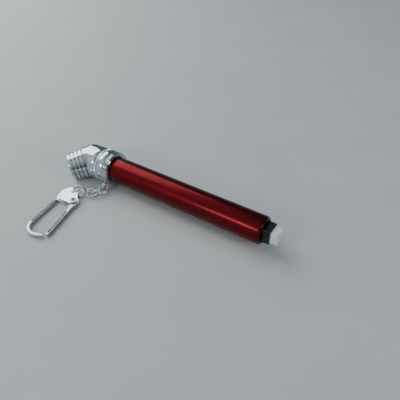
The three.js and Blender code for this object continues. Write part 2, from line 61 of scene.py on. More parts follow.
bl_info = {
    "name": "Tyre Pressure Gauge",
    "version": (1, 0, 0),
    "blender": (4, 5, 0),
    "location": "3D View > Sidebar > Gauge",
    "description": "Builds a pencil tyre pressure gauge with its chain and snap clasp",
    "category": "Object",
}

MM = 0.001
X_AXIS = Vector((1, 0, 0))
Z_AXIS = Vector((0, 0, 1))

# The barrel's end at the head, on its own axis, from the frame.
barrel_low, barrel_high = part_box("barrel")
barrel_middle = (barrel_low + barrel_high) / 2
AXIS_START = Vector((barrel_low.x, barrel_middle.y, barrel_middle.z))
ON_AXIS = Matrix.Translation(AXIS_START) @ Matrix.Scale(MM, 4)

# The collar is the widest ring, so it sets the axis's height over the table.
COLLAR_RADIUS = 6.6
AXIS_HEIGHT = COLLAR_RADIUS


def bearing(heading, slope):
    """The direction of a heading, from X towards Y, that climbs by the slope, in degrees."""
    flat = cos(radians(slope))
    return Vector((flat * cos(radians(heading)), flat * sin(radians(heading)), sin(radians(slope))))


# The chuck's own axis leaves the elbow here, measured along the barrel's axis. It bends aside and
# dips until the rim of the mouth meets the table.
ELBOW = -11.4
CHUCK_BEND = radians(50)
CHUCK_LENGTH = 9.8
MOUTH_RADIUS = 5.3
rim_reach = hypot(CHUCK_LENGTH, MOUTH_RADIUS)
chuck_dip = asin(AXIS_HEIGHT / rim_reach) - atan2(MOUTH_RADIUS, CHUCK_LENGTH)
CHUCK_AXIS = Vector((
    -cos(CHUCK_BEND), -sqrt(sin(CHUCK_BEND) ** 2 - sin(chuck_dip) ** 2), -sin(chuck_dip)
))

# The eyelet hangs low on the swivel ring's chain side, its wire just clear of the table.
EYELET_REACH = 7.7
EYELET_RADIUS = 1.55
eyelet_drop = asin((AXIS_HEIGHT - 2.15) / EYELET_REACH)
EYELET = Vector((-0.9, -EYELET_REACH * cos(eyelet_drop), -EYELET_REACH * sin(eyelet_drop)))

# The chain leaves the eyelet at this heading and curves, each link turned from the last one.
CHAIN_HEADING = -82.6
CHAIN_TURN = -26.6
LINK_SLOPES = (-14, 0, 2, 10)
FIRST_REACH, LINK_PITCH = 2.04, 2.28
FIRST_ROLL, LINK_TWIST = -10, 77

# The jump ring: its radius, the way it faces, and where it holds the last link and the clasp.
RING_RADIUS = 2.04
RING_FLAT = bearing(33, 0)
RING_RISE = bearing(33 + 90, 50)
RING_GRIP, RING_HOOK = 10, 190
RING_LOWEST = 0.46
LAST_REACH = 0.58

# The clasp lies turned on the table, its hanger's eye here from the rivet.
CLASP_TURN = radians(9.4)
HANGER_X, HANGER_Y = -2.6, 4


def chain_places():
    """Each link's middle, direction and roll, in millimetres from the barrel's end."""
    places = []
    middle, reach = EYELET.copy(), FIRST_REACH
    for i, slope in enumerate(LINK_SLOPES):
        middle = middle + bearing(CHAIN_HEADING + CHAIN_TURN * i, slope) * reach
        direction = bearing(CHAIN_HEADING + CHAIN_TURN * (i + 0.5), slope)
        places.append((middle, direction, FIRST_ROLL + LINK_TWIST * i))
        reach = LINK_PITCH
    return places


def on_ring(angle):
    """From the jump ring's middle to the point of its wire at an angle round it."""
    return (RING_FLAT * cos(radians(angle)) + RING_RISE * sin(radians(angle))) * RING_RADIUS


LINK_PLACES = chain_places()
last_middle, last_direction, _ = LINK_PLACES[-1]
RING_MIDDLE = last_middle + last_direction * LAST_REACH - on_ring(RING_GRIP)
RING_MIDDLE.z = RING_LOWEST - AXIS_HEIGHT + RING_RADIUS * RING_RISE.z

# The clasp's rivet, on the table.
hanger = Matrix.Rotation(CLASP_TURN, 3, "Z") @ Vector((HANGER_X, HANGER_Y, 0))
RIVET = RING_MIDDLE + on_ring(RING_HOOK) - hanger
RIVET.z = -AXIS_HEIGHT
IN_CLASP = ON_AXIS @ Matrix.Translation(RIVET) @ Matrix.Rotation(CLASP_TURN, 4, "Z")

# The way to the camera from the object, and where it stands from the barrel's end.
TOWARDS_CAMERA = bearing(-57.34, 40.08)
CAMERA_PLACE = Vector((101.3, -98.5, 100.26))

# Sizes that several steps share, in millimetres.
BARREL_LENGTH = 63.4
BARREL_RADIUS = 5
BARREL_BORE = 4.3
LIP_OPENING = 4.1
NECK_RING_BORE = 5.05
AIR_PASSAGE = 1.2
CHUCK_ROOT_RADIUS = 6.1
TAPER_START = 3.2
GROOVE_CENTRES = (3.75, 5.25, 6.75, 8.25)
BAR_SIDE = 4.35
BUSH_GAP = 0.1
ARM_THICKNESS = 1.5
SHEET_LOW, SHEET_HIGH = 0.3, 0.8
EAR_LOW, EAR_HIGH = 0.95, 1.45
COVER_LOW, COVER_HIGH = 1.6, 2.1
RIVET_HOLE = 0.7
RIVET_LOBE = 1.5
EYE_RADIUS = 0.9
EYE_RIM = 0.75

# How far a grip groove has sunk at each part of its half width.
GROOVE_SHAPE = (
    (-1, 0), (-0.88, 0.18), (-0.68, 0.75), (-0.45, 1),
    (0.45, 1), (0.68, 0.75), (0.88, 0.18), (1, 0),
)


# ---- Sizes and colours that a user may change ----


def length(name, description, default):
    """A size that is written in millimetres and held in metres."""
    return FloatProperty(
        name=name, description=description, default=default * MM, unit="LENGTH", precision=5
    )


def colour(name, description, default):
    return FloatVectorProperty(
        name=name, description=description, default=default, subtype="COLOR", min=0, max=1
    )


def power(name, description, default):
    return FloatProperty(name=name, description=description, default=default, unit="POWER")


class HeadSizes(PropertyGroup):
    groove_depth: length("Groove depth", "How deep the grip grooves of the chuck are", 0.5)
    groove_width: length("Groove width", "How wide the grip grooves of the chuck are", 0.7)
    rib_width: FloatProperty(
        name="Rib width", description="How much of the chuck's turn the smooth rib takes",
        default=radians(26), subtype="ANGLE",
    )
    tooth_depth: length("Tooth depth", "How deep the fine knurl of the thin ring is", 0.3)


class BarrelSizes(PropertyGroup):
    lip_roll: length("Lip roll", "The radius that the barrel's end is rolled over to", 0.9)
    edge_break: length("Edge break", "The rounding of the barrel's edge at the head", 0.12)


class BarSizes(PropertyGroup):
    edge_round: length("Edge rounding", "The rounding of the indicator bar's long edges", 0.16)
    mark_pitch: length("Mark pitch", "The distance from one scale mark to the next", 1.6)
    mark_count: IntProperty(
        name="Marks", description="How many scale marks the bar has", default=19
    )


class ChainSizes(PropertyGroup):
    wire: length("Link wire", "The thickness of the chain links' wire", 0.63)
    ring_wire: length("Ring wire", "The thickness of the jump ring's wire", 0.72)
    seam: length("Seam", "The gap where the ends of a bent wire meet", 0.06)


class ClaspSizes(PropertyGroup):
    groove_width: length("Groove width", "The width of the groove along each arm", 0.44)
    groove_depth: length("Groove depth", "The depth of the groove along each arm", 0.5)
    edge_round: length("Edge rounding", "The rounding of the plate's edges", 0.12)


# Each shade colour darkens random patches of its finish; dimmed, it is also the painted shade in
# the finish's hollows.
class FinishColours(PropertyGroup):
    chrome: colour("Chrome", "Bright plating of the head, rings and chain", (0.70, 0.74, 0.77))
    chrome_shade: colour("Chrome shade", "Where the chrome is a little darker", (0.46, 0.52, 0.55))
    nickel: colour("Nickel", "Satin plating of the clasp", (0.52, 0.56, 0.59))
    nickel_shade: colour("Nickel shade", "Where the nickel is a little darker", (0.40, 0.44, 0.47))
    anodised: colour("Anodised red", "The barrel's dyed surface", (0.14, 0.0015, 0.006))
    anodised_shade: colour("Anodised shade", "Where the dye is deeper", (0.10, 0.001, 0.004))
    black: colour("Black plastic", "The guide bush", (0.006, 0.007, 0.009))
    white: colour("White plastic", "The indicator bar", (0.90, 0.92, 0.93))


class StageSizes(PropertyGroup):
    floor: colour("Floor", "The plain pale floor", (0.62, 0.64, 0.65))
    key_power: power("Key lamp", "Power of the large soft lamp on the left", 1.5)
    fill_power: power("Fill lamp", "Power of the small soft lamp in front", 0.35)


SETTINGS = {
    "gauge_head": HeadSizes,
    "gauge_barrel": BarrelSizes,
    "gauge_bar": BarSizes,
    "gauge_chain": ChainSizes,
    "gauge_clasp": ClaspSizes,
    "gauge_colours": FinishColours,
    "gauge_stage": StageSizes,
}


def millimetres(value):
    return value / MM


# ---- Modelling steps ----


def deselect():
    active = bpy.context.view_layer.objects.active
    if active and active.mode != "OBJECT":
        bpy.ops.object.mode_set(mode="OBJECT")
    bpy.ops.object.select_all(action="DESELECT")


def choose(piece):
    deselect()
    piece.select_set(True)
    bpy.context.view_layer.objects.active = piece


def edit(piece):
    choose(piece)
    bpy.ops.object.mode_set(mode="EDIT")


def pick(piece, kind, wanted):
    """Selects, in edit mode, the vertices, edges or faces whose middle is wanted."""
    bpy.ops.mesh.select_mode(type=kind)
    bpy.ops.mesh.select_all(action="DESELECT")
    mesh = bmesh.from_edit_mesh(piece.data)
    if kind == "VERT":
        for vertex in mesh.verts:
            vertex.select_set(bool(wanted(vertex.co)))
    elif kind == "EDGE":
        for edge in mesh.edges:
            edge.select_set(bool(wanted((edge.verts[0].co + edge.verts[1].co) / 2)))
    else:
        for face in mesh.faces:
            face.select_set(bool(wanted(face.calc_center_median())))
    bmesh.update_edit_mesh(piece.data)


def close_up(doubles=1e-4):
    """Merges what meets, turns every face outwards and leaves edit mode."""
    bpy.ops.mesh.select_all(action="SELECT")
    bpy.ops.mesh.remove_doubles(threshold=doubles)
    bpy.ops.mesh.normals_make_consistent(inside=False)
    bpy.ops.object.mode_set(mode="OBJECT")


def draw(name, points):
    """Draws a line by pulling each point out of the last, and leaves it selected in edit mode."""
    deselect()
    bpy.ops.mesh.primitive_circle_add(vertices=3, radius=1, location=(0, 0, 0), enter_editmode=True)
    piece = bpy.context.object
    piece.name = piece.data.name = name
    bpy.ops.mesh.select_mode(type="VERT")
    bpy.ops.mesh.merge(type="CENTER")
    bpy.ops.transform.translate(value=points[0])
    for last, here in zip(points, points[1:]):
        bpy.ops.mesh.extrude_vertices_move(TRANSFORM_OT_translate={"value": here - last})
    bpy.ops.mesh.select_all(action="SELECT")
    return piece


def turned(name, profile, steps=96, angle=2 * pi):
    """A body spun about X from (x, radius) points. Part of a turn is closed at both ends."""
    piece = draw(name, [Vector((x, 0, radius)) for x, radius in profile])
    if angle < 2 * pi:
        bpy.ops.mesh.remove_doubles(threshold=1e-4)
        bpy.ops.mesh.select_all(action="SELECT")
        bpy.ops.mesh.edge_face_add()
    bpy.ops.mesh.spin(steps=steps, angle=angle, center=(0, 0, 0), axis=X_AXIS)
    close_up()
    return piece


def plate(name, corners, low, high, rounded=(), rounding=0.8):
    """A flat sheet of the outline from z = low to z = high, with the listed corners rounded."""
    points = [Vector((x, y, low)) for x, y in corners]
    piece = draw(name, points + points[:1])
    bpy.ops.mesh.remove_doubles(threshold=1e-4)
    bpy.ops.mesh.select_all(action="SELECT")
    bpy.ops.mesh.edge_face_add()
    if rounded:
        def is_rounded(co):
            return any((co.xy - Vector(corner)).length < 1e-3 for corner in rounded)

        pick(piece, "VERT", is_rounded)
        bpy.ops.mesh.bevel(offset=rounding, offset_type="OFFSET", segments=6, affect="VERTICES")
        bpy.ops.mesh.select_all(action="SELECT")
    bpy.ops.mesh.extrude_region_move(TRANSFORM_OT_translate={"value": (0, 0, high - low)})
    close_up()
    return piece


def disc(name, x, y, radius, low, high, sides=64):
    """A flat round piece or cutter from z = low to z = high."""
    deselect()
    bpy.ops.mesh.primitive_cylinder_add(
        vertices=sides, radius=radius, depth=high - low, location=(x, y, (low + high) / 2)
    )
    piece = bpy.context.object
    piece.name = name
    bpy.ops.object.transform_apply(location=True, rotation=True, scale=True)
    return piece


def block(name, low, high):
    """A square piece or cutter from its low corner to its high corner."""
    deselect()
    bpy.ops.mesh.primitive_cube_add(size=1, location=(Vector(low) + Vector(high)) / 2)
    piece = bpy.context.object
    piece.name = name
    piece.scale = Vector(high) - Vector(low)
    bpy.ops.object.transform_apply(location=True, rotation=True, scale=True)
    return piece


def shift(piece, matrix):
    """Moves a piece's mesh by the matrix, and leaves its object at the origin."""
    choose(piece)
    piece.matrix_world = matrix
    bpy.ops.object.transform_apply(location=True, rotation=True, scale=True)
    return piece


def combine(piece, operation, *others):
    """Joins the other pieces to this one, or cuts them from it, and removes them."""
    for other in others:
        choose(piece)
        bpy.ops.object.modifier_add(type="BOOLEAN")
        step = piece.modifiers[-1]
        step.operation = operation
        step.solver = "EXACT"
        step.object = other
        bpy.ops.object.modifier_apply(modifier=step.name)
        choose(other)
        bpy.ops.object.delete()
    return piece


def soften(piece, width, segments=2, angle=35):
    """Rounds every edge that is sharper than the angle."""
    edit(piece)
    bpy.ops.mesh.select_all(action="SELECT")
    bpy.ops.mesh.remove_doubles(threshold=2e-3)
    bpy.ops.mesh.dissolve_limited(angle_limit=radians(0.5))
    choose(piece)
    bpy.ops.object.modifier_add(type="BEVEL")
    step = piece.modifiers[-1]
    step.width = width
    step.segments = segments
    step.limit_method = "ANGLE"
    step.angle_limit = radians(angle)
    step.use_clamp_overlap = True
    bpy.ops.object.modifier_apply(modifier=step.name)
    return piece


def complete(piece, matrix, finish, body, slot, *nodes, smooth=35):
    """Puts a shaped piece in its place, in metres, with its finish and body, and hides the CAD
    nodes it stands for.
    """
    shift(piece, matrix)
    piece.data.materials.clear()
    piece.data.materials.append(finish)
    bpy.ops.object.shade_smooth_by_angle(angle=radians(smooth))
    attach(piece, body)
    if nodes:
        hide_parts(*nodes)
    return piece


# ---- Finishes ----


def new_finish(name):
    finish = bpy.data.materials.new(name)
    finish.use_nodes = True
    nodes = finish.node_tree.nodes
    shader = nodes["Principled BSDF"]
    return finish, nodes, finish.node_tree.links, shader


def pattern(nodes, links, scale, stretch=(1, 1, 1), detail=4, roughness=0.55):
    """Noise on the piece's own coordinates, as a 0 to 1 value."""
    place = nodes.new("ShaderNodeTexCoord")
    mapping = nodes.new("ShaderNodeMapping")
    mapping.inputs["Scale"].default_value = stretch
    mapping.inputs["Location"].default_value = -Vector([a * b for a, b in zip(AXIS_START, stretch)])
    noise = nodes.new("ShaderNodeTexNoise")
    noise.inputs["Scale"].default_value = scale
    noise.inputs["Detail"].default_value = detail
    noise.inputs["Roughness"].default_value = roughness
    links.new(place.outputs["Object"], mapping.inputs["Vector"])
    links.new(mapping.outputs["Vector"], noise.inputs["Vector"])
    return noise.outputs["Fac"]


def between(nodes, links, value, low, high, start=0.3, end=0.7):
    """Turns a 0 to 1 value into one from low to high."""
    scale = nodes.new("ShaderNodeMapRange")
    scale.inputs["From Min"].default_value = start
    scale.inputs["From Max"].default_value = end
    scale.inputs["To Min"].default_value = low
    scale.inputs["To Max"].default_value = high
    links.new(value, scale.inputs["Value"])
    return scale.outputs["Result"]


def blend_colours(nodes, links, share, dark, light):
    """Blends two colours, or two colour sockets, by a 0 to 1 value."""
    mix = nodes.new("ShaderNodeMix")
    mix.data_type = "RGBA"
    links.new(share, mix.inputs["Factor"])
    for socket, value in ((mix.inputs[6], dark), (mix.inputs[7], light)):
        if hasattr(value, "links"):
            links.new(value, socket)
        else:
            socket.default_value = (*value, 1)
    return mix.outputs[2]


def surface(
    name, light, dark, metal, smooth, rough, mottle=500, grain=4000, stretch=(1, 1, 1),
    height=0.05, worn=None, wear=(0.53, 0.60), shade_share=0.25, coat=0.0, coat_rough=0.03,
    level=0.5,
):
    """A finish with mottled colour, uneven gloss, a fine grain and slightly worn edges; where worn
    edges are given, its hollows also get painted shade.
    """
    finish, nodes, links, shader = new_finish(name)
    patches = pattern(nodes, links, mottle)
    colours = blend_colours(nodes, links, between(nodes, links, patches, 0, 1), dark, light)
    if worn:
        edges = nodes.new("ShaderNodeNewGeometry").outputs["Pointiness"]
        rubbed = between(nodes, links, edges, 0, 0.8, *wear)
        colours = blend_colours(nodes, links, rubbed, colours, worn)
        # Painted shade: hollows, where pointiness is low, darken towards a dimmed copy of the dark
        # colour.
        painted_shade = dimmed(dark, shade_share)
        shaded_hollows = between(nodes, links, edges, 0, 1, 0.36, 0.475)
        colours = blend_colours(nodes, links, shaded_hollows, painted_shade, colours)
    links.new(colours, shader.inputs["Base Color"])
    lines = pattern(nodes, links, grain, stretch, detail=3)
    fine = pattern(nodes, links, mottle * 3, detail=5)
    links.new(between(nodes, links, fine, smooth, rough), shader.inputs["Roughness"])
    bump = nodes.new("ShaderNodeBump")
    bump.inputs["Strength"].default_value = height
    bump.inputs["Distance"].default_value = 0.02 * MM
    links.new(lines, bump.inputs["Height"])
    links.new(bump.outputs["Normal"], shader.inputs["Normal"])
    shader.inputs["Metallic"].default_value = metal
    shader.inputs["Coat Weight"].default_value = coat
    shader.inputs["Coat Roughness"].default_value = coat_rough
    shader.inputs["Specular IOR Level"].default_value = level
    return finish


def dimmed(shade, share):
    return tuple(share * part for part in shade)


# Filled by the finishes operator, which comes before the pieces.
FINISHES = {}


def make_finishes(colours):
    FINISHES["chrome"] = surface(
        "bright chrome", colours.chrome, colours.chrome_shade, 1, 0.05, 0.12,
        mottle=260, grain=1500, height=0.015, worn=(0.93, 0.94, 0.95),
    )
    FINISHES["nickel"] = surface(
        "satin nickel", colours.nickel, colours.nickel_shade, 1, 0.20, 0.32,
        mottle=320, grain=2600, stretch=(1, 0.25, 1), height=0.04, worn=(0.92, 0.92, 0.91),
    )
    FINISHES["anodised"] = surface(
        "anodised red", colours.anodised, colours.anodised_shade, 0.9, 0.24, 0.34,
        mottle=120, grain=5000, stretch=(0.02, 1, 1), height=0.12,
        worn=(0.75, 0.10, 0.13), wear=(0.54, 0.64), coat=0.10, coat_rough=0.08,
    )
    FINISHES["black"] = surface(
        "black plastic", colours.black, dimmed(colours.black, 0.6), 0, 0.28, 0.45,
        mottle=900, grain=5000, height=0.25, worn=(0.03, 0.04, 0.05), level=0.35,
    )
    FINISHES["white"] = surface(
        "white plastic", colours.white, dimmed(colours.white, 0.9), 0, 0.25, 0.42,
        mottle=600, grain=4000, height=0.12, worn=(0.90, 0.91, 0.92),
    )
    FINISHES["ink"] = surface(
        "printed ink", (0.03, 0.03, 0.035), (0.015, 0.015, 0.02), 0, 0.5, 0.65,
        mottle=2500, height=0.2,
    )
    FINISHES["rubber"] = surface(
        "matte rubber", (0.035, 0.034, 0.033), (0.02, 0.02, 0.02), 0, 0.65, 0.85,
        mottle=900, grain=6000, height=0.5, worn=(0.07, 0.07, 0.068),
    )
    FINISHES["brass"] = surface(
        "turned brass", (0.78, 0.58, 0.26), (0.58, 0.40, 0.15), 1, 0.22, 0.38,
        mottle=700, grain=5000, stretch=(1, 0.1, 0.1), height=0.3, worn=(0.90, 0.74, 0.42),
    )
    FINISHES["spring_steel"] = surface(
        "drawn steel", (0.62, 0.63, 0.65), (0.44, 0.45, 0.47), 1, 0.22, 0.36,
        mottle=900, grain=5000, stretch=(0.2, 1, 1), height=0.3, worn=(0.75, 0.76, 0.78),
    )


CAD_FINISHES = {
    "valve_seal": "rubber",
    "depressor_pin": "brass",
    "spigot_seal": "rubber",
    "piston_cup": "rubber",
    "piston_plate": "brass",
    "piston_rivet": "brass",
    "bar_stop": "black",
    "clasp_spring": "spring_steel",
}


def dress_cad_nodes():
    """Gives the CAD nodes that stay in sight their better finishes."""
    for name, finish in CAD_FINISHES.items():
        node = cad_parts[name]
        for slot in node.material_slots:
            slot.material = FINISHES[finish]


class GAUGE_OT_finishes(Operator):
    """Makes the finishes, and gives the pieces from the frame that stay in sight theirs"""

    bl_idname = "gauge.finishes"
    bl_label = "Finishes"

    def execute(self, context):
        make_finishes(context.scene.gauge_colours)
        dress_cad_nodes()
        return {"FINISHED"}


# ---- Pieces ----


def chuck_radius(along):
    """The chuck tapers from its root to its mouth."""
    taper = (CHUCK_ROOT_RADIUS - MOUTH_RADIUS) / (CHUCK_LENGTH - TAPER_START)
    return CHUCK_ROOT_RADIUS - taper * max(0.0, along - TAPER_START)


def chuck_body(depth, width, rib):
    """The chuck round its own axis, grooved all round but for one smooth rib."""
    profile = [(0, 0), (0, CHUCK_ROOT_RADIUS), (1.6, 6.12), (TAPER_START, CHUCK_ROOT_RADIUS)]
    for centre in GROOVE_CENTRES:
        floor = chuck_radius(centre) - depth
        for reach, sink in GROOVE_SHAPE:
            at = centre + reach * width / 2
            profile.append((at, chuck_radius(at) * (1 - sink) + floor * sink))
    profile += [(9.45, 5.34), (9.62, 5.26), (9.74, 5.13), (CHUCK_LENGTH, 4.96), (CHUCK_LENGTH, 0)]
    body = turned("chuck", profile, 112)

    rib_end = 9.2
    smooth = turned("rib", [
        (1, 1), (1, 6.05), (TAPER_START, 6.09), (rib_end, chuck_radius(rib_end) - 0.01),
        (rib_end, 1), (1, 1),
    ], 12, rib)
    away = sum((Vector(corner.co) for corner in smooth.data.vertices), Vector())
    facing = X_AXIS.rotation_difference(CHUCK_AXIS).inverted() @ TOWARDS_CAMERA
    turn = atan2(facing.z, facing.y) - atan2(away.z, away.y)
    shift(smooth, Matrix.Rotation(turn, 4, "X"))
    return combine(body, "UNION", smooth)


def chuck_bore():
    """The cutter of the chuck's inside: air passage, chamber, seal groove and mouth."""
    return turned("bore", [
        (0, 0), (0, AIR_PASSAGE), (1.8, AIR_PASSAGE), (1.8, 2.6), (3.05, 2.6), (3.05, 4.65),
        (4.8, 4.65), (4.8, 4.2), (9.5, 4.2), (9.62, 4.23), (9.72, 4.32), (9.82, 4.5),
        (11, 5.6), (11, 0),
    ], 72)


class GAUGE_OT_head(Operator):
    """Builds the chromed head: the elbow, the grooved chuck, the neck and the spigot"""

    bl_idname = "gauge.head"
    bl_label = "Head"

    def execute(self, context):
        sizes = context.scene.gauge_head
        widest, bulb_radius, half = -8.95, 6.45, 2.45
        bulb = [(ELBOW, 0), (ELBOW, 6.3)]
        for i in range(1, 13):
            x = ELBOW + i * 0.39
            fall = 0.15 if x < widest else 0.35
            bulb.append((x, bulb_radius - fall * ((x - widest) / half) ** 2))
        neck, spigot, seal_groove = 5, 4.25, 3.2
        head = turned("gauge_head", bulb + [
            (-6.58, 6.05), (-6.5, 5.95), (-6.5, neck), (-0.05, neck), (-0.05, spigot),
            (2.9, spigot), (2.9, seal_groove), (4.1, seal_groove), (4.1, spigot),
            (6.8, spigot), (7, 4.05), (7, 0),
        ])
        ball = 6.4
        arc = [(ELBOW + ball * cos(pi * i / 36), ball * sin(pi * i / 36)) for i in range(37)]
        elbow = turned("elbow", arc)
        turn = X_AXIS.rotation_difference(CHUCK_AXIS).to_matrix().to_4x4()
        onto_chuck = Matrix.Translation((ELBOW, 0, 0)) @ turn
        chuck = chuck_body(
            millimetres(sizes.groove_depth), millimetres(sizes.groove_width), sizes.rib_width
        )
        shift(chuck, onto_chuck)
        combine(head, "UNION", elbow, chuck)
        bore = shift(chuck_bore(), onto_chuck)
        beyond = 8
        passage = turned("passage", [
            (ELBOW, 0), (ELBOW, AIR_PASSAGE), (beyond, AIR_PASSAGE), (beyond, 0),
        ], 32)
        combine(head, "DIFFERENCE", bore, passage)
        edit(head)
        close_up(1e-3)
        complete(head, ON_AXIS, FINISHES["chrome"], "gauge", "chrome", "head_casting", smooth=28)
        return {"FINISHED"}


class GAUGE_OT_neck_rings(Operator):
    """Builds the fine knurled ring and the convex collar on the neck"""

    bl_idname = "gauge.neck_rings"
    bl_label = "Neck rings"

    def execute(self, context):
        depth = millimetres(context.scene.gauge_head.tooth_depth)
        teeth, crest = 44, 6.2
        start, end = -6.4, -5.4
        knurl = turned("knurled_band", [
            (start, NECK_RING_BORE), (start, 5.95), (start + 0.12, crest), (end - 0.12, crest),
            (end, 5.95), (end, NECK_RING_BORE), (start, NECK_RING_BORE),
        ], 4 * teeth)
        edit(knurl)
        step = 2 * pi / (4 * teeth)

        def in_valley(co):
            turn = round(atan2(co.z, co.y) / step) % 4
            return turn in (0, 1) and hypot(co.y, co.z) > crest - 0.1

        pick(knurl, "VERT", in_valley)
        share = (crest - depth) / crest
        bpy.ops.transform.resize(value=(1, share, share), center_override=(0, 0, 0))
        bpy.ops.object.mode_set(mode="OBJECT")
        soften(knurl, 0.03, 1, 30)
        complete(knurl, ON_AXIS, FINISHES["chrome"], "gauge", "chrome", "knurled_ring", smooth=25)

        start, end, steps = -5.3, -1.8, 24
        crown = [
            (start + (end - start) * i / steps, 6.15 + (COLLAR_RADIUS - 6.15) * sin(pi * i / steps))
            for i in range(steps + 1)
        ]
        crown[0] = (start, 6.05)
        crown[-1] = (end, 6.05)
        foot = (start, NECK_RING_BORE)
        collar = turned("convex_collar", [foot] + crown + [(end, NECK_RING_BORE), foot])
        complete(collar, ON_AXIS, FINISHES["chrome"], "gauge", "chrome", "neck_collar")
        return {"FINISHED"}


class GAUGE_OT_barrel(Operator):
    """Builds the red barrel with its rolled lip"""

    bl_idname = "gauge.barrel"
    bl_label = "Barrel"

    def execute(self, context):
        sizes = context.scene.gauge_barrel
        roll, edge = millimetres(sizes.lip_roll), millimetres(sizes.edge_break)
        profile = [(0, BARREL_BORE), (0, BARREL_RADIUS - edge)]
        for a in (pi / 6, pi / 3, pi / 2):
            profile.append((edge * (1 - cos(a)), BARREL_RADIUS - edge * (1 - sin(a))))
        profile += [(6 + 7 * i, BARREL_RADIUS) for i in range(8)]
        for i in range(11):
            a = i / 10 * pi / 2
            profile.append(
                (BARREL_LENGTH - roll + roll * sin(a), BARREL_RADIUS - roll + roll * cos(a))
            )
        lip = BARREL_LENGTH - 1
        profile += [
            (BARREL_LENGTH - 0.12, LIP_OPENING), (lip, LIP_OPENING), (lip, BARREL_BORE),
            (0, BARREL_BORE),
        ]
        barrel = turned("red_barrel", profile, 128)
        complete(
            barrel, ON_AXIS, FINISHES["anodised"], "gauge", "anodised_red", "barrel", smooth=40
        )
        return {"FINISHED"}


class GAUGE_OT_guide_bush(Operator):
    """Builds the black guide bush with its square nose"""

    bl_idname = "gauge.guide_bush"
    bl_label = "Guide bush"

    def execute(self, context):
        start, shoulder, front = 54.35, 62.35, 63.1
        body = turned("guide_bush_front", [
            (start, 0), (start, 4.1), (start + 0.15, 4.25), (shoulder, 4.25), (shoulder, 4),
            (front - 0.15, 4), (front - 0.04, 3.95), (front, 3.84), (front, 0),
        ])
        half = 5.4 / 2
        nose = block("nose", (62, -half, -half), (66.2, half, half))
        soften(nose, 0.22, 3)
        half = BAR_SIDE / 2 + BUSH_GAP
        guide = block("guide", (50, -half, -half), (70, half, half))
        soften(guide, 0.2, 3)
        combine(body, "UNION", nose)
        combine(body, "DIFFERENCE", guide)
        complete(
            body, ON_AXIS, FINISHES["black"], "gauge", "black_plastic", "guide_bush", smooth=30
        )
        return {"FINISHED"}


class GAUGE_OT_indicator_bar(Operator):
    """Builds the white indicator bar and the plain scale marks along it"""

    bl_idname = "gauge.indicator_bar"
    bl_label = "Indicator bar"

    def execute(self, context):
        sizes = context.scene.gauge_bar
        half, tip = BAR_SIDE / 2, 68.6
        bar = block("square_bar", (14.1, -half, -half), (tip, half, half))
        stub = turned("stub", [(14, 0), (14, 1.25), (17.4, 1.25), (17.4, 0)], 32)
        combine(bar, "DIFFERENCE", stub)
        soften(bar, millimetres(sizes.edge_round), 3)
        edit(bar)
        pick(bar, "FACE", lambda co: co.x > tip - 0.01)
        bpy.ops.mesh.inset(thickness=0.5, depth=0)
        bpy.ops.mesh.inset(thickness=0.16, depth=-0.12)
        close_up()
        complete(bar, ON_AXIS, FINISHES["white"], "indicator", "white_plastic", "indicator_bar")

        pitch, count = millimetres(sizes.mark_pitch), sizes.mark_count
        marks = []
        first, foot, stroke = 62.4, -1.7, 0.09
        for i in range(count):
            x = first - i * pitch
            reach = 1.5 if i % 5 == 0 else 0.9
            low = (x - stroke, foot, half - 0.01)
            high = (x + stroke, foot + reach, half + 0.02)
            mark = block(f"mark_{i}", low, high)
            marks.append(soften(mark, 0.015, 1))
            choose(mark)
            bpy.ops.object.duplicate()
            copy = bpy.context.object
            marks.append(shift(copy, Matrix.Rotation(pi / 2, 4, "X")))
        deselect()
        for mark in marks:
            mark.select_set(True)
        bpy.context.view_layer.objects.active = marks[0]
        bpy.ops.object.join()
        scale = bpy.context.object
        scale.name = scale.data.name = "scale_marks"
        complete(scale, ON_AXIS, FINISHES["ink"], "indicator", "black_plastic")
        return {"FINISHED"}


class GAUGE_OT_spring(Operator):
    """Builds the calibrated spring inside the barrel as a fixed coil; the real spring shortens as
    the piston slides
    """

    bl_idname = "gauge.spring"
    bl_label = "Spring"

    def execute(self, context):
        start, end, wire, middle, turns = 12.57, 53.94, 0.6, 3.73, 13
        deselect()
        bpy.ops.mesh.primitive_circle_add(
            vertices=10, radius=wire / 2, fill_type="NGON",
            location=(middle, 0, 0), rotation=(pi / 2, 0, 0),
        )
        spring = bpy.context.object
        spring.name = spring.data.name = "calibrated_coil"
        bpy.ops.object.transform_apply(location=True, rotation=True, scale=True)
        bpy.ops.object.modifier_add(type="SCREW")
        step = spring.modifiers[-1]
        step.axis = "Z"
        step.angle = 2 * pi
        step.iterations = turns
        step.screw_offset = (end - start) / turns
        step.steps = step.render_steps = 28
        step.use_merge_vertices = False
        bpy.ops.object.modifier_apply(modifier=step.name)
        edit(spring)
        close_up()
        lying = Matrix.Translation((start, 0, 0)) @ Matrix.Rotation(pi / 2, 4, "Y")
        complete(
            spring, ON_AXIS @ lying, FINISHES["spring_steel"],
            "gauge", "spring_steel", "calibrated_spring", smooth=60,
        )
        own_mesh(spring)
        return {"FINISHED"}


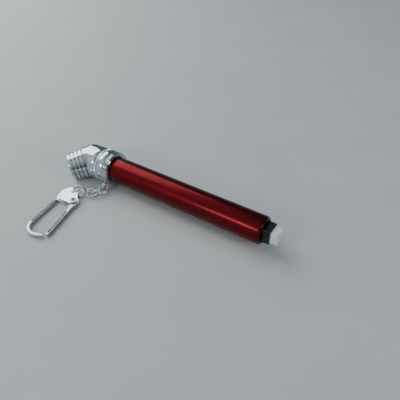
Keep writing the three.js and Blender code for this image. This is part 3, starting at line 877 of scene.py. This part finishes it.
class GAUGE_OT_swivel_ring(Operator):
    """Builds the grooved swivel ring with the eyelet that the chain hangs from"""

    bl_idname = "gauge.swivel_ring"
    bl_label = "Swivel ring"

    def execute(self, context):
        start, end, ridge = -1.7, -0.1, 0.4
        profile = [(start, NECK_RING_BORE), (start, 6.0)]
        for middle in (start + ridge, end - ridge):
            for i in range(9):
                a = pi * (1 - i / 8)
                profile.append((middle + ridge * cos(a), 6.1 + ridge * sin(a)))
        profile += [
            (end, 5.95), (-0.14, 5.84), (-0.26, 5.72), (-0.26, 5.66), (-0.14, 5.56), (end, 5.46),
            (end, 5.32), (-0.16, 5.2), (-0.32, NECK_RING_BORE), (start, NECK_RING_BORE),
        ]
        ring = turned("grooved_ring", profile, 112)
        deselect()
        bpy.ops.mesh.primitive_torus_add(
            major_radius=EYELET_RADIUS, minor_radius=0.43, major_segments=48, minor_segments=18,
            location=EYELET, rotation=(0, pi / 2, 0),
        )
        eyelet = bpy.context.object
        bpy.ops.object.transform_apply(location=True, rotation=True, scale=True)
        combine(ring, "UNION", eyelet)
        complete(ring, ON_AXIS, FINISHES["chrome"], "swivel", "chrome", "swivel_ring", smooth=30)
        return {"FINISHED"}


def bent_wire(name, straight, bend, wire, seam, sides=16, steps=20):
    """A wire link round the origin: two straights along X and two bends, with a closed seam."""
    deselect()
    bpy.ops.mesh.primitive_circle_add(
        vertices=sides, radius=wire / 2, fill_type="NGON",
        location=(0, 0, 0), rotation=(0, pi / 2, 0),
    )
    piece = bpy.context.object
    piece.name = piece.data.name = name
    bpy.ops.object.transform_apply(location=True, rotation=True, scale=True)
    bpy.ops.object.mode_set(mode="EDIT")
    bpy.ops.mesh.select_all(action="SELECT")
    first = max(straight / 2, seam)
    bpy.ops.transform.translate(value=(seam / 2, bend, 0))

    def pull(x):
        if abs(x) > 1e-6:
            bpy.ops.mesh.extrude_region_move(TRANSFORM_OT_translate={"value": (x, 0, 0)})

    def turn(centre, angle):
        bpy.ops.mesh.spin(
            steps=steps, angle=angle, center=(centre, 0, 0), axis=Z_AXIS, use_auto_merge=False
        )

    if straight > 2 * seam:
        pull(first - seam / 2)
        turn(straight / 2, pi)
        pull(-straight)
        turn(-straight / 2, pi)
        pull(first - seam / 2)
    else:
        turn(0, 2 * pi - 2 * seam / bend)
    close_up(1e-5)
    return piece


def set_square(along, across, facing):
    """The turn that lays X, Y and Z along the three directions."""
    return Matrix((along, across, facing)).transposed().to_4x4()


def link_matrix(middle, direction, roll):
    """Lays a link's X along the chain, with its Y leaning over by the roll."""
    side = Z_AXIS.cross(direction).normalized()
    up = direction.cross(side)
    across = side * cos(radians(roll)) + up * sin(radians(roll))
    turn = set_square(direction, across, direction.cross(across))
    return ON_AXIS @ Matrix.Translation(middle) @ turn


class GAUGE_OT_chain(Operator):
    """Builds the chain of small wire links and the jump ring that holds the clasp"""

    bl_idname = "gauge.chain"
    bl_label = "Chain"

    def execute(self, context):
        sizes = context.scene.gauge_chain
        wire, seam = millimetres(sizes.wire), millimetres(sizes.seam)
        straight, bend = 0.4, 1.47
        pattern_link = bent_wire("pattern_link", straight, bend, wire, seam)
        for i, (middle, direction, roll) in enumerate(LINK_PLACES, 1):
            choose(pattern_link)
            bpy.ops.object.duplicate()
            link = bpy.context.object
            link.name = link.data.name = f"wire_link_{i}"
            complete(
                link, link_matrix(middle, direction, roll), FINISHES["chrome"],
                f"link_{i}", "chrome", f"chain_link_{i}", smooth=60,
            )
        choose(pattern_link)
        bpy.ops.object.delete()

        ring_wire = millimetres(sizes.ring_wire)
        ring = bent_wire("wire_ring", 0, RING_RADIUS, ring_wire, seam, steps=44)
        turn = set_square(RING_FLAT, RING_RISE, RING_FLAT.cross(RING_RISE))
        complete(
            ring, ON_AXIS @ Matrix.Translation(RING_MIDDLE) @ turn,
            FINISHES["chrome"], "ring", "chrome", "jump_ring", smooth=60,
        )
        return {"FINISHED"}


def groove_cutter(name, start, end, width, low, high):
    """A long block with rounded ends, lying from start to end, for cutting a groove."""
    start, end = Vector(start), Vector(end)
    way = end - start
    cutter = block(name, (-width / 2, 0, low), (width / 2, way.length, high))
    edit(cutter)
    pick(cutter, "EDGE", lambda co: abs(co.z - (low + high) / 2) < 1e-4)
    bpy.ops.mesh.bevel(offset=width * 0.45, segments=4, affect="EDGES")
    close_up()
    angle = atan2(way.y, way.x) - pi / 2
    place = Matrix.Translation((start.x, start.y, 0))
    return shift(cutter, place @ Matrix.Rotation(angle, 4, "Z"))


# The plate's outline on each side of the hanger, which the cover and the frame's sheet share.
PLATE_LEFT = [(-6.5, -1.4), (-7, 3.3), (-4.8, 6.1)]
PLATE_RIGHT = [(1.08, 1.08), (0, -1.5), (-0.3, -2)]


class GAUGE_OT_clasp_frame(Operator):
    """Builds the clasp's frame: its lower plate, its grooved arm and its bow"""

    bl_idname = "gauge.clasp_frame"
    bl_label = "Clasp frame"

    def execute(self, context):
        sizes = context.scene.gauge_clasp
        width, depth = millimetres(sizes.groove_width), millimetres(sizes.groove_depth)
        outer, inner = 5.25, 4.1
        end, steps = radians(286), 36
        sweep = [pi + (end - pi) * i / steps for i in range(steps + 1)]
        straight = Vector((-sin(end), cos(end))) * 2.6

        def on_bow(radius, angle):
            return Vector((-2.4 + radius * cos(angle), -15 + radius * sin(angle)))

        outline = [(-7.2, -0.4)]
        outline += [on_bow(outer, a) for a in sweep]
        outline += [on_bow(outer, end) + straight, on_bow(inner, end) + straight]
        outline += [on_bow(inner, a) for a in reversed(sweep)]
        outline.append((-6.05, -0.4))
        arm = plate("clasp_frame_bow", outline, 0, ARM_THICKNESS)
        swing = disc("swing", 0, 0, 18.8, -1, 3, 256)
        beyond = block("beyond", (-0.9, -19.6, -2), (4, -16, 4))
        combine(swing, "INTERSECT", beyond)
        combine(arm, "DIFFERENCE", swing)
        floor = ARM_THICKNESS - depth
        groove = groove_cutter("groove", (-6.66, -1.9), (-7.05, -14.9), width, floor, 2)
        combine(arm, "DIFFERENCE", groove)
        soften(arm, 0.16, 3, 50)
        relief = [(-4.5, 5.7), (-3.55, 2.1)]
        sheet = plate("lower_sheet", PLATE_LEFT + relief + PLATE_RIGHT, SHEET_LOW, SHEET_HIGH)
        combine(sheet, "UNION", disc("lobe", 0, 0, RIVET_LOBE, SHEET_LOW, SHEET_HIGH))
        space = [(-8.2, -1.4), (-8.2, 6.4), (1, 6.4), (1, -2), (-0.3, -2)]
        combine(arm, "DIFFERENCE", plate("clear", space, SHEET_HIGH, 3))
        combine(arm, "UNION", sheet)
        combine(arm, "DIFFERENCE", disc("rivet_hole", 0, 0, RIVET_HOLE, -1, 3))
        complete(arm, IN_CLASP, FINISHES["nickel"], "clasp", "nickel", "clasp_frame")
        return {"FINISHED"}


class GAUGE_OT_clasp_cover(Operator):
    """Builds the clasp's cover plate with its hanger eye"""

    bl_idname = "gauge.clasp_cover"
    bl_label = "Clasp cover"

    def execute(self, context):
        x, y = HANGER_X, HANGER_Y
        reach = EYE_RADIUS + EYE_RIM
        corner = reach * sqrt(0.5)
        cover = plate(
            "clasp_cover_plate",
            PLATE_LEFT + [(x, y + reach), (x + corner, y + corner)] + PLATE_RIGHT,
            COVER_LOW, COVER_HIGH, rounded=PLATE_LEFT, rounding=0.9,
        )
        lobe = disc("cover_lobe", 0, 0, RIVET_LOBE, COVER_LOW, COVER_HIGH)
        hanger = disc("hanger", x, y, reach, COVER_LOW, COVER_HIGH)
        combine(cover, "UNION", lobe, hanger)
        eye = disc("eye", x, y, EYE_RADIUS, 1, 3)
        hole = disc("cover_hole", 0, 0, RIVET_HOLE, 1, 3)
        combine(cover, "DIFFERENCE", eye, hole)
        soften(cover, millimetres(context.scene.gauge_clasp.edge_round), 3, 40)
        complete(cover, IN_CLASP, FINISHES["nickel"], "clasp", "nickel", "clasp_cover")
        return {"FINISHED"}


class GAUGE_OT_clasp_gate(Operator):
    """Builds the clasp's grooved gate with the ear that turns on the rivet"""

    bl_idname = "gauge.clasp_gate"
    bl_label = "Clasp gate"

    def execute(self, context):
        sizes = context.scene.gauge_clasp
        width, depth = millimetres(sizes.groove_width), millimetres(sizes.groove_depth)
        span, side, reach, ear_radius = 14, 1.75, 18.6, 1.95
        tip_x = side + span * tan(radians(3.7))
        tip_y = -sqrt(reach**2 - tip_x**2)
        gate = plate("clasp_gate_arm", [
            (side, tip_y + span), (tip_x, tip_y + 0.3), (tip_x - 0.3, tip_y),
            (tip_x - 0.95, tip_y), (tip_x - 1.15, tip_y + 0.3), (0.6, tip_y + 13.9),
            (0.3, -3.55), (-0.585, -2.1), (1.365, -2.1), (ear_radius, -1.95),
        ], 0.1, ARM_THICKNESS)
        start, end = (1.24, tip_y + 12.6), (tip_x - 0.62, tip_y + 0.9)
        floor = ARM_THICKNESS - depth
        combine(gate, "DIFFERENCE", groove_cutter("gate_groove", start, end, width, floor, 2))
        soften(gate, 0.16, 3, 40)
        ear = disc("ear", 0, 0, ear_radius, EAR_LOW, EAR_HIGH)
        corners = [(0, 0), (ear_radius, 0), (1.85, -2.25), (-0.3, -2.25)]
        combine(ear, "UNION", plate("bridge", corners, EAR_LOW, EAR_HIGH))
        combine(gate, "UNION", ear)
        combine(gate, "DIFFERENCE", disc("ear_hole", 0, 0, RIVET_HOLE, -1, 3))
        complete(gate, IN_CLASP, FINISHES["nickel"], "gate", "nickel", "clasp_gate")
        return {"FINISHED"}


class GAUGE_OT_clasp_rivet(Operator):
    """Builds the hollow rivet with its rolled heads"""

    bl_idname = "gauge.clasp_rivet"
    bl_label = "Clasp rivet"

    def execute(self, context):
        head, shank, low, high = 1.05, 0.65, 0.25, 2.15
        rivet = turned("hollow_rivet", [
            (0, 0.55), (0, 1.0), (0.05, head), (low, head), (low, shank), (high, shank),
            (high, head), (2.22, 1.04), (2.31, 0.97), (2.37, 0.88), (2.4, 0.76), (2.38, 0.64),
            (2.3, 0.56), (2.18, 0.52), (0, 0.52), (0, 0.55),
        ], 56)
        upright = IN_CLASP @ Matrix.Rotation(-pi / 2, 4, "Y")
        complete(
            rivet, upright, FINISHES["nickel"], "clasp", "nickel", "clasp_rivet", smooth=40
        )
        return {"FINISHED"}


class GAUGE_OT_stage(Operator):
    """Sets out the floor, the lamps, the surroundings and the camera"""

    bl_idname = "gauge.stage"
    bl_label = "Stage"

    def execute(self, context):
        sizes = context.scene.gauge_stage
        deselect()
        bpy.ops.mesh.primitive_plane_add(size=6, location=(0, 0, -0.02 * MM))
        floor = context.object
        floor.name = "floor"
        finish, nodes, links, shader = new_finish("pale floor")
        patches = between(nodes, links, pattern(nodes, links, 30), 0, 1)
        colours = blend_colours(nodes, links, patches, dimmed(sizes.floor, 0.94), sizes.floor)
        links.new(colours, shader.inputs["Base Color"])
        shader.inputs["Roughness"].default_value = 0.6
        floor.data.materials.append(finish)

        key, fill = sizes.key_power, sizes.fill_power
        self.lamp("left window", (-0.36, 0.10, 0.30), (0.42, 0.42), key)
        self.lamp("front window", (-0.12, -0.42, 0.24), (0.14, 0.08), fill)
        self.lamp("right window", (0.45, -0.02, 0.22), (0.14, 0.14), 1.4 * fill)
        self.surroundings(context.scene)
        self.camera(context.scene)
        return {"FINISHED"}

    @staticmethod
    def lamp(name, place, size, energy):
        """Hangs a soft lamp that faces the gauge."""
        deselect()
        bpy.ops.object.light_add(type="AREA", location=place)
        lamp = bpy.context.object
        lamp.name = name
        lamp.data.shape = "RECTANGLE"
        lamp.data.size, lamp.data.size_y = size
        lamp.data.energy = energy
        aim = (AXIS_START + Vector((0.02, 0, 0))) - Vector(place)
        lamp.rotation_euler = aim.to_track_quat("-Z", "Y").to_euler()

    @staticmethod
    def surroundings(scene):
        """Shades the surroundings from a dim side to the bright side on the front left."""
        world = bpy.data.worlds.new("studio")
        scene.world = world
        world.use_nodes = True
        nodes, links = world.node_tree.nodes, world.node_tree.links
        place = nodes.new("ShaderNodeTexCoord")
        facing = nodes.new("ShaderNodeVectorMath")
        facing.operation = "DOT_PRODUCT"
        facing.inputs[1].default_value = Vector((-0.55, -0.62, 0.56)).normalized()
        links.new(place.outputs["Generated"], facing.inputs[0])
        ramp = nodes.new("ShaderNodeValToRGB")
        low, high = ramp.color_ramp.elements
        low.position, low.color = 0, (0.10, 0.14, 0.16, 1)
        high.position, high.color = 1, (0.62, 0.64, 0.66, 1)
        for position, shade in (
            (0.25, (0.08, 0.12, 0.14, 1)),
            (0.6, (0.30, 0.33, 0.35, 1)),
            (0.8, (0.50, 0.53, 0.55, 1)),
        ):
            ramp.color_ramp.elements.new(position).color = shade
        links.new(facing.outputs["Value"], ramp.inputs["Fac"])
        background = nodes["Background"]
        links.new(ramp.outputs["Color"], background.inputs["Color"])
        background.inputs["Strength"].default_value = 1.0

    @staticmethod
    def camera(scene):
        """Sets up the camera, level, above the chain's side of the gauge."""
        deselect()
        bpy.ops.object.camera_add()
        camera = bpy.context.object
        right = Z_AXIS.cross(TOWARDS_CAMERA).normalized()
        turn = set_square(right, TOWARDS_CAMERA.cross(right), TOWARDS_CAMERA)
        camera.matrix_world = Matrix.Translation(AXIS_START + CAMERA_PLACE * MM) @ turn
        camera.data.lens = 39.6
        camera.data.sensor_width = 36
        camera.data.clip_start = 0.005
        scene.camera = camera


OPERATORS = (
    GAUGE_OT_finishes,
    GAUGE_OT_head,
    GAUGE_OT_neck_rings,
    GAUGE_OT_barrel,
    GAUGE_OT_guide_bush,
    GAUGE_OT_indicator_bar,
    GAUGE_OT_spring,
    GAUGE_OT_swivel_ring,
    GAUGE_OT_chain,
    GAUGE_OT_clasp_frame,
    GAUGE_OT_clasp_cover,
    GAUGE_OT_clasp_gate,
    GAUGE_OT_clasp_rivet,
    GAUGE_OT_stage,
)


class GAUGE_PT_panel(Panel):
    """Lists the gauge's pieces and their sizes"""

    bl_idname = "GAUGE_PT_panel"
    bl_label = "Tyre Pressure Gauge"
    bl_space_type = "VIEW_3D"
    bl_region_type = "UI"
    bl_category = "Gauge"

    def draw(self, context):
        layout = self.layout
        for name, group in SETTINGS.items():
            box = layout.box()
            for field in group.__annotations__:
                box.prop(getattr(context.scene, name), field)
        for operator in OPERATORS:
            layout.operator(operator.bl_idname)


def register():
    for name, group in SETTINGS.items():
        bpy.utils.register_class(group)
        setattr(bpy.types.Scene, name, PointerProperty(type=group))
    for operator in OPERATORS:
        bpy.utils.register_class(operator)
    bpy.utils.register_class(GAUGE_PT_panel)


def unregister():
    bpy.utils.unregister_class(GAUGE_PT_panel)
    for operator in reversed(OPERATORS):
        bpy.utils.unregister_class(operator)
    for name, group in SETTINGS.items():
        delattr(bpy.types.Scene, name)
        bpy.utils.unregister_class(group)


def main():
    register()
    for operator in OPERATORS:
        group, action = operator.bl_idname.split(".")
        result = getattr(getattr(bpy.ops, group), action)()
        if result != {"FINISHED"}:
            raise RuntimeError(f"{operator.bl_label} was not finished")


if __name__ == "__main__":
    main()
